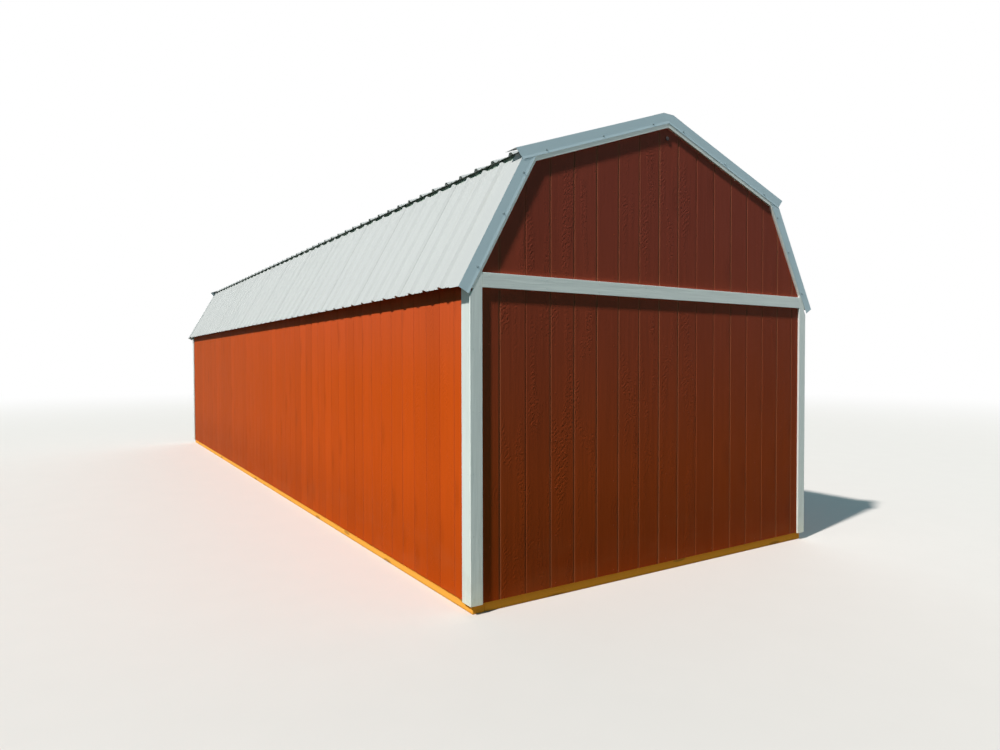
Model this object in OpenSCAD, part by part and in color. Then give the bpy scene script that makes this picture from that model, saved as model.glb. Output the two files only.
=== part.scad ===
// Portable gambrel barn on timber skids, 12 ft by 36 ft.
// The origin is on the ground at the middle of the footprint and +Z is up.
// The long walls run along Y, and the gable walls face -Y (near) and +Y (far).

/* [Building] */
// Width over the studs of the two long walls
frame_w = 3400; // [2600:1:4200]
// Length over the studs of the two gable walls
frame_l = 10919; // [5000:1:12000]
// Height of the wall frames, from the floor to the top of the plates
wall_h = 1900; // [1500:1:2500]

/* [Floor] */
// Width of a skid
skid_w = 89; // [60:1:140]
// Height of a skid
skid_h = 89; // [70:1:140]
// Number of skids
skid_n = 4; // [2:1:6]
// Height of the floor joists
joist_h = 89; // [60:1:240]
// Spacing of the floor joists
joist_pitch = 406; // [300:1:610]
// Thickness of the floor deck
floor_t = 18; // [12:1:30]

/* [Framing] */
// Thickness of the framing timber
lumber_t = 38; // [30:1:50]
// Depth of studs and rafters
lumber_d = 89; // [60:1:140]
// Spacing of the studs
stud_pitch = 610; // [300:1:700]
// Spacing of the roof trusses
truss_pitch = 610; // [300:1:900]
// Thickness of the truss gussets
gusset_t = 12; // [6:1:20]
// Length of a gusset along each rafter
gusset_l = 260; // [120:1:400]

/* [Roof form] */
// Rafter height above the plate at the face of the wall
heel_h = 96; // [60:1:140]
// Distance of the knee in from the face of the wall
knee_inset = 440; // [300:1:600]
// Height of the knee above the plates
knee_rise = 890; // [600:1:1100]
// Height of the ridge above the plates
ridge_rise = 1342; // [1150:1:1700]
// Reach of the roof boards past the wall at the eave
eave_overhang = 60; // [30:1:110]
// Reach of the upper sheets past the knee
knee_overhang = 44; // [36:1:90]
// Thickness of the roof boards
sheathing_t = 11; // [8:1:20]

/* [Metal roofing] */
// Thickness of the metal sheets and trims
sheet_t = 1; // [0.8:0.1:2]
// Spacing of the ribs
rib_pitch = 228.6; // [150:0.1:305]
// Height of a rib
rib_h = 19; // [10:1:30]
// Width of a rib at its foot
rib_foot = 60; // [40:1:90]
// Width of a rib at its top
rib_top = 22; // [10:1:38]
// Distance of the first rib from the near edge of the lower sheets
lower_first_rib = 69; // [40:1:200]
// Distance of the first rib from the near edge of the upper sheets
upper_first_rib = 175; // [40:1:200]
// Least distance of the last rib from the far edge
rib_edge = 40; // [35:1:80]
// Height of the two small ribs in each pan
swage_h = 3; // [1:0.5:6]
// Width of a small rib
swage_w = 26; // [16:1:40]
// Reach of the sheets past the roof boards
sheet_overhang = 20; // [5:1:40]
// Drop of the lower sheets' upper edge below the start of the lower rakes
lower_sheet_drop = 22; // [0:1:40]
// Distance of the upper sheets from the ridge line
ridge_gap = 30; // [15:1:60]
// Width of a ridge cap wing down the slope
cap_wing = 150; // [110:1:220]
// Width of the flat crown of the ridge cap
crown_w = 104; // [60:1:120]

/* [Rake trims] */
// Height of the metal rake's face
rake_face = 82; // [60:1:110]
// Width of the metal rake's flange over the roof
rake_flange = 125; // [110:1:180]
// Height of the kicked hem along the foot of the face
hem_h = 18; // [8:1:30]
// Kick of the hem away from the gable
hem_kick = 2; // [1:1:12]
// Reach of the lower rakes past the roof sheets
rake_reach = 25; // [0:1:40]
// Reach of the upper rakes past the roof sheets
upper_rake_reach = 73; // [30:1:110]
// Slant of the upper rake's end, back from a square cut
rake_slant = 32; // [0:1:50]

/* [Siding] */
// Thickness of the siding panels
siding_t = 11; // [8:1:19]
// Height of the siding's foot above the ground
siding_foot = 64; // [30:1:80]
// Width of the first plank, at the near end or the left end of a wall
first_plank = 210; // [100:1:300]
// Spacing of the grooves
groove_pitch = 203.2; // [100:0.1:305]
// Width of a groove at the face
groove_w = 9; // [5:1:15]
// Width of a groove at its floor
groove_floor = 6; // [3:1:12]
// Depth of a groove
groove_d = 3; // [1:0.5:5]

/* [Trim boards] */
// Thickness of the trim boards
trim_t = 16; // [12:1:25]
// Width of the corner boards on the gables
gable_board_w = 89; // [60:1:150]
// Width of the corner boards on the long walls
side_board_w = 97; // [60:1:150]
// Height of the corner boards' foot above the ground
board_foot = 60; // [30:1:80]
// Width of the band board across the gables
band_w = 95; // [60:1:150]
// Drop of the band board's foot below the top of the wall frames
band_drop = 32; // [-40:1:120]
// Width of the upper rake boards
upper_rake_w = 90; // [80:1:120]
// Width of the lower rake boards
lower_rake_w = 77; // [74:1:120]
// Diameter of the round plug under the peak
plug_d = 30; // [15:1:60]
// Distance of the plug below the ridge
plug_drop = 163; // [130:1:300]

/* [Fits] */
// Clearance where one piece ends against another
fit_gap = 2; // [1:0.5:4]

/* [Hidden] */

half_w = frame_w / 2;
half_l = frame_l / 2;
siding_x = half_w + siding_t;
siding_y = half_l + siding_t;
trim_x = siding_x + trim_t;
trim_y = siding_y + trim_t;
joist_z = skid_h + joist_h;
floor_z = joist_z + floor_t;
plate_z = floor_z + wall_h;
band_z = plate_z - band_drop;
joint_z = band_z + band_w / 2;

// Rafter line, the top of the rafters and the underside of the roof boards
heel = [half_w, plate_z + heel_h];
knee = [half_w - knee_inset, plate_z + knee_rise];
ridge = [0, plate_z + ridge_rise];
lower_a = atan2(knee.y - heel.y, heel.x - knee.x);
upper_a = atan2(ridge.y - knee.y, knee.x);
lower_dir = [cos(lower_a), -sin(lower_a)];
lower_out = [sin(lower_a), cos(lower_a)];
upper_dir = [cos(upper_a), -sin(upper_a)];
upper_out = [sin(upper_a), cos(upper_a)];
bend_a = lower_a - upper_a;
heel_s = norm(heel - knee);
ridge_s = norm(knee - ridge);

// Distances down a slope: the lower one starts at the knee, the upper one at the ridge
board_eave = heel_s + eave_overhang / cos(lower_a);
sheet_eave = board_eave + sheet_overhang;
sheet_knee = ridge_s + knee_overhang / cos(upper_a);
rake_knee = sheet_knee + upper_rake_reach;
rib_level = sheathing_t + rib_h + sheet_t;
trim_level = rib_level + sheet_t;
lower_rake_start = (trim_level * cos(bend_a) - sheathing_t) / sin(bend_a) + fit_gap;
lower_sheet_start = lower_rake_start + lower_sheet_drop;
upper_sheet_start = ridge_gap / cos(upper_a);
rake_foot = trim_level - rake_face;
face_y = trim_y + sheet_t;
cap_level = trim_level + sheet_t;
crown_z = ridge.y + cap_level / cos(upper_a) - crown_w / 2 * tan(upper_a);

red = "#7a2f1e";
pale = "#b9c2bf";
metal_white = "#dfe3e1";
treated = "#b9873f";
pine = "#d8b781";
panel_tan = "#c59b63";

function on_lower(s, h) = knee + s * lower_dir + h * lower_out;
function on_upper(s, h) = ridge + s * upper_dir + h * upper_out;
// Height of a line that lies h above the lower rafter line, at the distance x from the middle
function lower_z(x, h) = heel.y + (heel.x - x) * tan(lower_a) + h / cos(lower_a);
function upper_z(x, h) = ridge.y - x * tan(upper_a) + h / cos(upper_a);
// Point where a line h1 above the lower slope meets a line h2 above the upper slope
function corner(h1, h2) = on_lower((h1 * cos(bend_a) - h2) / sin(bend_a), h1);

// Centres of like pieces spread over a length, the first and the last at its ends
function spread(length, pitch) =
  let (n = ceil(length / pitch)) [for (i = [0:n]) -length / 2 + i * length / n];

module along_y(length) {
  rotate([90, 0, 0])
    linear_extrude(length, center = true)
      children();
}

module both_ends(y) {
  for (side = [-1, 1])
    translate([0, side * y, 0])
      children();
}

module at_left() {
  mirror([1, 0, 0])
    children();
}

module at_far() {
  rotate([0, 0, 180])
    children();
}

// A profile of width along Y and height off the slope, pushed down the slope from start to stop
module down_slope(origin, angle, start, stop) {
  translate([origin.x, 0, origin.y])
    rotate([0, angle, 0])
      rotate([90, 0, 90])
        translate([0, 0, start])
          linear_extrude(stop - start)
            children();
}

module skids() {
  step = (frame_w - skid_w) / (skid_n - 1);
  for (i = [0:skid_n - 1]) {
    inner = i > 0 && i < skid_n - 1;
    length = frame_l - (inner ? 2 * lumber_t : 0);
    translate([-half_w + skid_w / 2 + i * step, 0, skid_h / 2])
      cube([skid_w, length, skid_h], center = true);
  }
}

module end_sills() {
  both_ends(half_l - lumber_t / 2)
    translate([0, 0, skid_h / 2])
      cube([frame_w - 2 * skid_w, lumber_t, skid_h], center = true);
}

module rim_joists() {
  translate([0, 0, skid_h])
    linear_extrude(joist_h)
      difference() {
        square([frame_w, frame_l], center = true);
        square([frame_w - 2 * lumber_t, frame_l - 2 * lumber_t], center = true);
      }
}

module floor_joists() {
  places = spread(frame_l - lumber_t, joist_pitch);
  for (i = [1:len(places) - 2])
    translate([0, places[i], skid_h + joist_h / 2])
      cube([frame_w - 2 * lumber_t, lumber_t, joist_h], center = true);
}

module floor_deck() {
  translate([0, 0, joist_z + floor_t / 2])
    cube([frame_w, frame_l, floor_t], center = true);
}

// Plates and studs of a wall, drawn flat with its length along X and its height along Y
module wall_elevation(length) {
  translate([-length / 2, 0])
    square([length, lumber_t]);
  translate([-length / 2, wall_h - 2 * lumber_t])
    square([length, 2 * lumber_t]);
  for (x = spread(length - lumber_t, stud_pitch))
    translate([x - lumber_t / 2, 0])
      square([lumber_t, wall_h]);
}

module right_wall_frame() {
  translate([half_w - lumber_d / 2, 0, floor_z])
    rotate([0, 0, 90])
      along_y(lumber_d)
        wall_elevation(frame_l - 2 * lumber_d);
}

module rafter_ring() {
  inner_knee = corner(-lumber_d, -lumber_d);
  foot_x = inner_knee.x + (inner_knee.y - plate_z) / tan(lower_a);
  right = [[half_w, plate_z], heel, knee];
  left = [for (i = [2:-1:0]) [-right[i].x, right[i].y]];
  inner = [[foot_x, plate_z], inner_knee, [0, ridge.y - lumber_d / cos(upper_a)]];
  polygon(concat(right, [ridge], left,
    [[-inner[0].x, inner[0].y], [-inner[1].x, inner[1].y], inner[2], inner[1], inner[0]]));
}

module gussets() {
  knee_plate = [on_lower(gusset_l, 0), knee, on_upper(ridge_s - gusset_l, 0),
    on_upper(ridge_s - gusset_l, -lumber_d), on_lower(gusset_l, -lumber_d)];
  peak = [on_upper(gusset_l, 0), on_upper(gusset_l, -lumber_d)];
  polygon(knee_plate);
  polygon([for (p = knee_plate) [-p.x, p.y]]);
  polygon([[-peak[0].x, peak[0].y], ridge, peak[0], peak[1], [-peak[1].x, peak[1].y]]);
}

// Studs above the plate, which stand under the end rafters
module gable_studs() {
  intersection() {
    for (x = spread(frame_w - lumber_t, stud_pitch))
      translate([x - lumber_t / 2, plate_z])
        square([lumber_t, ridge_rise]);
    polygon(concat([[half_w, plate_z], heel, knee, ridge],
      [[-knee.x, knee.y], [-heel.x, heel.y], [-half_w, plate_z]]));
  }
}

module near_wall_frame() {
  translate([0, -half_l + lumber_d / 2, floor_z])
    along_y(lumber_d)
      wall_elevation(frame_w);
  translate([0, -half_l + lumber_t / 2, 0])
    along_y(lumber_t) {
      rafter_ring();
      gable_studs();
    }
}

module roof_trusses() {
  places = spread(frame_l - lumber_t, truss_pitch);
  for (i = [1:len(places) - 2])
    translate([0, places[i], 0]) {
      along_y(lumber_t)
        rafter_ring();
      along_y(lumber_t + 2 * gusset_t)
        gussets();
    }
}

// Section of a grooved panel, with its outer face on y = 0 and its left edge on x = 0
module grooved_panel(length) {
  last = floor((length - first_plank - groove_w) / groove_pitch);
  side = [for (i = [0:last], p = [[-groove_w, 0], [-groove_floor, 1], [groove_floor, 1], [groove_w, 0]])
    [first_plank + i * groove_pitch + p[0] / 2, p[1] * groove_d]];
  polygon(concat([[0, siding_t], [0, 0]], side, [[length, 0], [length, siding_t]]));
}

module near_siding_block(low, high) {
  translate([-siding_x, -siding_y, low])
    linear_extrude(high - low)
      grooved_panel(2 * siding_x);
}

module near_lower_siding() {
  near_siding_block(siding_foot, joint_z);
}

module near_gable_siding() {
  edge = [siding_x, lower_z(siding_x, 0)];
  intersection() {
    near_siding_block(joint_z, ridge.y);
    translate([0, -half_l, 0])
      along_y(2 * lumber_d)
        polygon([[-siding_x, joint_z], [siding_x, joint_z], edge, knee, ridge,
          [-knee.x, knee.y], [-edge.x, edge.y]]);
  }
}

module right_siding() {
  translate([siding_x, -half_l, siding_foot])
    rotate([0, 0, 90])
      linear_extrude(lower_z(siding_x, 0) - fit_gap - siding_foot)
        grooved_panel(frame_l);
}

module gable_corner_board() {
  inner = trim_x - gable_board_w;
  foot = sheathing_t - lower_rake_w;
  polygon([[inner, board_foot], [trim_x, board_foot],
    [trim_x, lower_z(trim_x, foot)], [inner, lower_z(inner, foot)]]);
}

module near_corner_boards() {
  translate([0, -siding_y - trim_t / 2, 0])
    along_y(trim_t) {
      gable_corner_board();
      mirror([1, 0])
        gable_corner_board();
    }
}

module right_corner_boards() {
  both_ends(siding_y - side_board_w / 2)
    translate([siding_x, -side_board_w / 2, board_foot])
      cube([trim_t, side_board_w, lower_z(trim_x, 0) - fit_gap - board_foot]);
}

module near_band_board() {
  length = 2 * (trim_x - gable_board_w);
  translate([-length / 2, -trim_y, band_z])
    cube([length, trim_t, band_w]);
}

module gable_plug() {
  translate([0, -siding_y, ridge.y - plug_drop])
    rotate([90, 0, 0])
      cylinder(h = trim_t / 2, d = plug_d, $fn = 32);
}

module right_lower_roof_boards() {
  along_y(2 * siding_y)
    polygon([knee, corner(sheathing_t, 0), on_lower(board_eave, sheathing_t),
      on_lower(board_eave, 0)]);
}

module right_upper_roof_boards() {
  along_y(2 * siding_y)
    polygon([ridge, [0, upper_z(0, sheathing_t)], corner(sheathing_t, sheathing_t),
      corner(sheathing_t, 0)]);
}

module rake_board_pair() {
  both_ends(siding_y + trim_t / 2)
    along_y(trim_t)
      children();
}

module right_lower_rake_boards() {
  inner = sheathing_t - lower_rake_w;
  under = sheathing_t - upper_rake_w;
  rake_board_pair()
    difference() {
      polygon([corner(inner, under), corner(sheathing_t, under),
        on_lower(board_eave, sheathing_t), on_lower(board_eave, inner)]);
      translate([0, band_z])
        square([trim_x - gable_board_w, band_w]);
    }
}

module right_upper_rake_boards() {
  inner = sheathing_t - upper_rake_w;
  rake_board_pair()
    polygon([[0, upper_z(0, inner)], [0, upper_z(0, sheathing_t)],
      corner(sheathing_t, sheathing_t), corner(sheathing_t, inner)]);
}

// Outline of a rib about its centre
function rib_line(centre, foot, top, height) =
  [[centre - foot / 2, 0], [centre - top / 2, height], [centre + top / 2, height], [centre + foot / 2, 0]];

// Section of a ribbed sheet, its pans on the roof boards
module ribbed_section(first_rib) {
  last = floor((2 * trim_y - first_rib - rib_edge) / rib_pitch);
  rib = rib_line(0, rib_foot, rib_top, rib_h);
  swages = [for (share = [1, 2], p = rib_line(share * rib_pitch / 3, swage_w, swage_w / 2, swage_h)) p];
  low = [for (i = [0:last], p = i < last ? concat(rib, swages) : rib)
    [first_rib - trim_y + i * rib_pitch + p.x, sheathing_t + p.y]];
  edge = [trim_y, sheathing_t];
  under = concat([[-edge.x, edge.y]], low, [edge]);
  over = [for (i = [len(under) - 1:-1:0]) under[i] + [0, sheet_t]];
  polygon(concat(under, over));
}

module right_lower_roof_sheet() {
  down_slope(knee, lower_a, lower_sheet_start, sheet_eave)
    ribbed_section(lower_first_rib);
}

module right_upper_roof_sheet() {
  down_slope(ridge, upper_a, upper_sheet_start, sheet_knee)
    ribbed_section(upper_first_rib);
}

module ridge_cap() {
  wing = on_upper(cap_wing, trim_level);
  wing_top = on_upper(cap_wing, cap_level);
  crown = [crown_w / 2, crown_z];
  top = [wing_top, crown, [-crown.x, crown.y], [-wing_top.x, wing_top.y]];
  under = [[-wing.x, wing.y], [-crown.x, upper_z(crown.x, trim_level)],
    [crown.x, upper_z(crown.x, trim_level)], wing];
  along_y(2 * face_y)
    polygon(concat(top, under));
}

// Section of the metal rake at the near gable: flange, face and kicked hem
module rake_section() {
  bend = rake_foot + hem_h;
  outer = [[-face_y + rake_flange, trim_level], [-face_y, trim_level], [-face_y, bend],
    [-face_y - hem_kick, rake_foot]];
  inner = [[-face_y + sheet_t - hem_kick, rake_foot], [-face_y + sheet_t, bend],
    [-face_y + sheet_t, rib_level], [-face_y + rake_flange, rib_level]];
  polygon(concat(outer, inner));
}

// The metal of the near and of the far gable
module near_and_far() {
  children();
  mirror([0, 1, 0])
    children();
}

// The lower rake, whose face is cut short along the foot of the upper rake's face
module right_lower_rake_trims() {
  depth = sheet_t + hem_kick + fit_gap;
  cut = rake_foot - fit_gap;
  near_and_far()
    difference() {
      down_slope(knee, lower_a, lower_rake_start, sheet_eave + rake_reach)
        rake_section();
      translate([0, -trim_y - depth / 2, 0])
        along_y(depth)
          polygon([on_upper(0, cut), on_upper(0, rake_face), on_upper(2 * rake_knee, rake_face),
            on_upper(2 * rake_knee, cut)]);
    }
}

module right_upper_rake_trims() {
  near_and_far()
    intersection() {
      down_slope(ridge, upper_a, -rake_face, rake_knee)
        rake_section();
      translate([0, -trim_y, 0])
        along_y(2 * rake_flange)
          polygon([[0, 0], [0, crown_z - sheet_t], [crown_w / 2, crown_z - sheet_t],
            on_upper(cap_wing, trim_level), on_upper(rake_knee, trim_level),
            on_upper(rake_knee - rake_slant, rake_foot), [knee.x, 0]]);
    }
}

color(treated) skids();
color(treated) end_sills();
color(treated) rim_joists();
color(treated) floor_joists();
color(panel_tan) floor_deck();
color(pine) at_left() right_wall_frame();  // left_wall_frame
color(pine) right_wall_frame();
color(pine) near_wall_frame();
color(pine) at_far() near_wall_frame();  // far_wall_frame
color(pine) roof_trusses();
color(red) at_left() right_siding();  // left_siding
color(red) right_siding();
color(red) near_lower_siding();
color(red) near_gable_siding();
color(red) at_far() near_lower_siding();  // far_lower_siding
color(red) at_far() near_gable_siding();  // far_gable_siding
color(pale) near_corner_boards();
color(pale) at_far() near_corner_boards();  // far_corner_boards
color(pale) at_left() right_corner_boards();  // left_corner_boards
color(pale) right_corner_boards();
color(pale) near_band_board();
color(pale) at_far() near_band_board();  // far_band_board
color("dimgray") gable_plug();
color(panel_tan) at_left() right_lower_roof_boards();  // left_lower_roof_boards
color(panel_tan) right_lower_roof_boards();
color(panel_tan) at_left() right_upper_roof_boards();  // left_upper_roof_boards
color(panel_tan) right_upper_roof_boards();
color(pale) at_left() right_lower_rake_boards();  // left_lower_rake_boards
color(pale) right_lower_rake_boards();
color(pale) at_left() right_upper_rake_boards();  // left_upper_rake_boards
color(pale) right_upper_rake_boards();
color(metal_white) at_left() right_lower_roof_sheet();  // left_lower_roof_sheet
color(metal_white) right_lower_roof_sheet();
color(metal_white) at_left() right_upper_roof_sheet();  // left_upper_roof_sheet
color(metal_white) right_upper_roof_sheet();
color(metal_white) ridge_cap();
color(metal_white) at_left() right_lower_rake_trims();  // left_lower_rake_trims
color(metal_white) right_lower_rake_trims();
color(metal_white) at_left() right_upper_rake_trims();  // left_upper_rake_trims
color(metal_white) right_upper_rake_trims();
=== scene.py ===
"""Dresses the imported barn.

It paints the grooved siding, eases and paints the trim boards and the treated timbers, finishes the ribbed
metal roof, and adds nails and screws.
"""
import math

import bmesh
import bpy
import numpy as np
from bpy.props import FloatProperty, FloatVectorProperty, PointerProperty
from bpy.types import Operator, Panel, PropertyGroup
from mathutils import Matrix, Vector


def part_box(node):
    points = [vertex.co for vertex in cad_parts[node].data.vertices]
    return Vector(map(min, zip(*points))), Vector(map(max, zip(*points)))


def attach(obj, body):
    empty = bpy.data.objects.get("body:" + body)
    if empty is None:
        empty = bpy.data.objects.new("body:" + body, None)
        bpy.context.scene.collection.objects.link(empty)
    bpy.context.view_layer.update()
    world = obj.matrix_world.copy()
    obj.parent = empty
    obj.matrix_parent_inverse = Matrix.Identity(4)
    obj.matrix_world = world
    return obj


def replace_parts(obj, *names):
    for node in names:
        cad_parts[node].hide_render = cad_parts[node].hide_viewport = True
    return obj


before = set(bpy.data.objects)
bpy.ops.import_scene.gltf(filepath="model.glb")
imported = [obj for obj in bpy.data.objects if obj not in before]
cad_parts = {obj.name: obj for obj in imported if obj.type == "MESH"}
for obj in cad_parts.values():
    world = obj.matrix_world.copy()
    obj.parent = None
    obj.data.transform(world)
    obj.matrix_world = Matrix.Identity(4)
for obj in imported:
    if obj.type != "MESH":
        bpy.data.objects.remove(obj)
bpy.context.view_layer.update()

bl_info = {
    "name": "Gambrel Barn",
    "version": (1, 0, 0),
    "blender": (4, 5, 0),
    "location": "View3D > Sidebar > Barn",
    "description": "Paint, trim, timber, metal and fixings of a portable gambrel barn",
    "category": "Object",
}


def tone(red, green, blue):
    """A colour by its screen values from 0 to 255, as the linear numbers that shaders use."""
    shares = [c / 255 for c in (red, green, blue)]
    return tuple(s / 12.92 if s <= 0.04045 else ((s + 0.055) / 1.055) ** 2.4 for s in shares)


def toned(colour, share):
    """A colour made darker by a share below 1."""
    return tuple(c * share for c in colour)


def length_prop(name, description, default):
    """A length in metres that a user may change."""
    return FloatProperty(name=name, description=description, default=default, min=0, precision=4,
                         unit="LENGTH")


def number_prop(name, description, default):
    """A plain number that a user may change."""
    return FloatProperty(name=name, description=description, default=default, min=0)


def colour_prop(name, description, default):
    """A colour that a user may change."""
    return FloatVectorProperty(name=name, description=description, default=default, min=0, max=1,
                               subtype="COLOR")


class BarnSizes(PropertyGroup):
    """Set-out of the siding, the roof and the fixings."""

    groove_pitch: length_prop("Groove pitch", "Distance between the siding's grooves", 0.2032)
    gable_groove: length_prop("Gable groove", "First groove from the left end of a gable", 0.21)
    wall_groove: length_prop("Wall groove", "First groove from the near end of a long wall", 0.221)
    groove_half: length_prop("Groove half width", "From a groove's middle to its arris", 0.0045)
    arris_reach: length_prop("Arris reach", "How far the paint rounds over beyond a groove's arris", 0.0065)
    rib_pitch: length_prop("Rib pitch", "Distance between the roof's ribs", 0.2286)
    lower_rib: length_prop("Lower rib", "First rib of the lower sheets from the near gable", 0.069)
    upper_rib: length_prop("Upper rib", "First rib of the upper sheets from the near gable", 0.175)
    rib_side: length_prop("Rib side", "From a rib's middle to the screws beside it", 0.047)
    lap_side: length_prop("Lap side", "From a rib's middle to the sheets' lap line beside it", 0.031)
    knee_x: length_prop("Knee out", "Knee of the rafter line from the middle of the barn", 1.26)
    knee_z: length_prop("Knee height", "Knee of the rafter line above the ground", 2.986)
    heel_x: length_prop("Heel out", "Heel of the rafter line from the middle of the barn", 1.7)
    heel_z: length_prop("Heel height", "Heel of the rafter line above the ground", 2.192)
    ridge_z: length_prop("Ridge height", "Ridge of the rafter line above the ground", 3.438)
    pan_level: length_prop("Pan level", "Top of the sheets' pans above the rafter line", 0.012)
    cap_level: length_prop("Cap level", "Top of the ridge cap above the rafter line", 0.033)
    board_ease: length_prop("Board ease", "Rounding of the trim boards' edges", 0.0025)
    timber_ease: length_prop("Timber ease", "Rounding of the timbers' edges", 0.004)
    plug_ease: length_prop("Plug ease", "Rounding of the gable plug's edges", 0.002)
    nail_head: length_prop("Nail head", "Width of a siding nail's head", 0.0075)
    nail_pitch: length_prop("Nail pitch", "Distance between siding nails up a stud", 0.3)
    wall_studs: length_prop("Wall studs", "Distance between the rows of nails on a long wall", 0.6)
    gable_studs: length_prop("Gable studs", "Distance between the rows of nails on a gable", 0.56)
    corner_pitch: length_prop("Corner nail pitch", "Distance between nails up a corner board", 0.42)
    band_pitch: length_prop("Band nail pitch", "Distance between nails along a band board", 0.45)
    screw_flats: length_prop("Screw head", "Width of a screw's hexagon head", 0.008)
    washer: length_prop("Washer", "Width of a screw's washer", 0.0145)


class BarnColours(PropertyGroup):
    """Colours of the barn's finishes."""

    wall_near: colour_prop("Wall", "Red paint of the long walls at their near end", tone(210, 83, 20))
    # Painted shade and sky reflection: the far end of a wall is darker and bluer.
    wall_far_shade_and_sky: colour_prop("Far wall", "Red paint of the long walls at their far end", tone(191, 82, 34))
    # Painted sky reflection: the wall is bluer under the eaves at its near end.
    wall_top_sky_reflection: colour_prop("Wall top", "Red paint under the eaves at the near end", tone(210, 88, 46))
    gable_foot: colour_prop("Gable foot", "Red paint of the gables at their foot", tone(182, 72, 18))
    # Painted sky reflection: the gable is bluer under the peak.
    gable_peak_sky_reflection: colour_prop("Gable peak", "Red paint of the gables under the peak", tone(172, 76, 58))
    # Dust low on the siding, also laid beside the grooves as a painted highlight.
    siding_dust_and_highlight: colour_prop("Siding dust", "Dust on the siding", tone(190, 128, 90))
    trim_pale: colour_prop("Trim", "Pale paint of the trim boards", tone(224, 231, 226))
    trim_splash: colour_prop("Trim splash", "Rain splash on the foot of the trim", tone(150, 140, 118))
    roof_pale: colour_prop("Roof", "Paint of the roof metal", tone(192, 193, 192))
    roof_grime: colour_prop("Roof grime", "Grime in the runs down the roof", tone(160, 158, 146))
    lap_line: colour_prop("Lap line", "Line where one roof sheet laps over the next", tone(96, 100, 100))
    # Painted sky reflection: the rakes' faces towards the gables are bluer than the roof metal.
    rake_face_sky_reflection: colour_prop("Rake", "Paint of the rakes' faces", tone(192, 214, 222))
    timber_light: colour_prop("Timber", "Early wood of the treated timber", tone(255, 190, 84))
    timber_dark: colour_prop("Timber grain", "Late wood of the treated timber", tone(238, 154, 46))
    timber_knot: colour_prop("Timber knot", "Knots in the treated timber", tone(120, 72, 30))
    timber_green: colour_prop("Timber green", "Green tinge of the treated timber", tone(190, 170, 74))
    timber_foot_dark: colour_prop("Timber damp", "Damp foot of the treated timber", tone(110, 76, 34))
    # Darker towards the bottom of the timbers.
    end_pores: colour_prop("End pores", "Pores in the timbers' sawn ends", tone(150, 84, 30))
    end_checks: colour_prop("End checks", "Drying cracks in the timbers' sawn ends", tone(52, 32, 16))
    pine: colour_prop("Pine", "Planed framing timber", tone(222, 190, 140))
    pine_knot: colour_prop("Pine knot", "Knots in the framing timber", tone(120, 74, 40))
    panel: colour_prop("Panel", "Strand panel under the roof and on the floor", tone(198, 160, 106))
    # Painted shade: the wrap is toned dark so that its sunlit strip under the knee reads as shade.
    wrap: colour_prop("Wrap", "Pale wrap over the roof boards", tone(150, 166, 152))
    washer_dark: colour_prop("Washer", "Rubber washers", tone(70, 74, 74))
    plug_dark: colour_prop("Plug", "Round plug under the peak", tone(62, 52, 52))


class BarnLight(PropertyGroup):
    """Light, floor and view of the studio."""

    sun_strength: number_prop("Key strength", "Strength of the key light", 4.0)
    sun_width: FloatProperty(name="Key width", description="Angular width of the key light",
                             default=math.radians(2.5), min=0, subtype="ANGLE")
    sun_aim: FloatVectorProperty(name="Key aim", description="Direction in which the key light shines",
                                 default=(5.55, 1.11, -6.6), subtype="XYZ")
    sun_tint: colour_prop("Key tint", "Colour of the key light", (1.0, 0.985, 0.95))
    sky_front: number_prop("Front fill", "Fill from the viewer's side", 0.2)
    sky_back: number_prop("Back fill", "Fill from the side away from the viewer", 1.35)
    front_tint: colour_prop("Front tint", "Colour of the front fill", (0.24, 0.8, 1.0))
    back_tint: colour_prop("Back tint", "Colour of the back fill", (0.85, 0.94, 1.0))
    floor_pale: colour_prop("Floor", "Floor as it is seen", tone(226, 217, 212))
    floor_dull: colour_prop("Floor bounce", "Floor as it lights the barn", tone(50, 60, 46))
    floor_warm: colour_prop("Foot bounce", "Floor beside the barn as it lights it", tone(176, 144, 30))
    lens: FloatProperty(name="Lens", description="Focal length on a 36 mm sensor", default=24.453, min=1,
                        subtype="DISTANCE_CAMERA")
    view_spot: FloatVectorProperty(name="View spot", description="Where the camera stands",
                                   default=(-3.8388, -9.1399, 1.6016), subtype="TRANSLATION")
    view_turn: FloatVectorProperty(name="View turn", description="Camera's turn to the right, tilt and roll",
                                   default=[math.radians(a) for a in (32.536, -1.182, -0.103)],
                                   unit="ROTATION")


def sizes():
    return bpy.context.scene.barn_sizes


def colours():
    return bpy.context.scene.barn_colours


class Wire:
    """A socket whose sums, differences and products add Math nodes."""

    def __init__(self, recipe, socket):
        self.recipe = recipe
        self.socket = socket

    def other(self, output):
        """Another output of the same node."""
        return Wire(self.recipe, self.socket.node.outputs[output])

    def __add__(self, other):
        return self.recipe.maths("ADD", self, other)

    __radd__ = __add__

    def __sub__(self, other):
        return self.recipe.maths("SUBTRACT", self, other)

    def __rsub__(self, other):
        return self.recipe.maths("SUBTRACT", other, self)

    def __mul__(self, other):
        return self.recipe.maths("MULTIPLY", self, other)

    __rmul__ = __mul__

    def __truediv__(self, other):
        return self.recipe.maths("DIVIDE", self, other)

    def __gt__(self, other):
        return self.recipe.maths("GREATER_THAN", self, other)

    def __abs__(self):
        return self.recipe.maths("ABSOLUTE", self)


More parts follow.
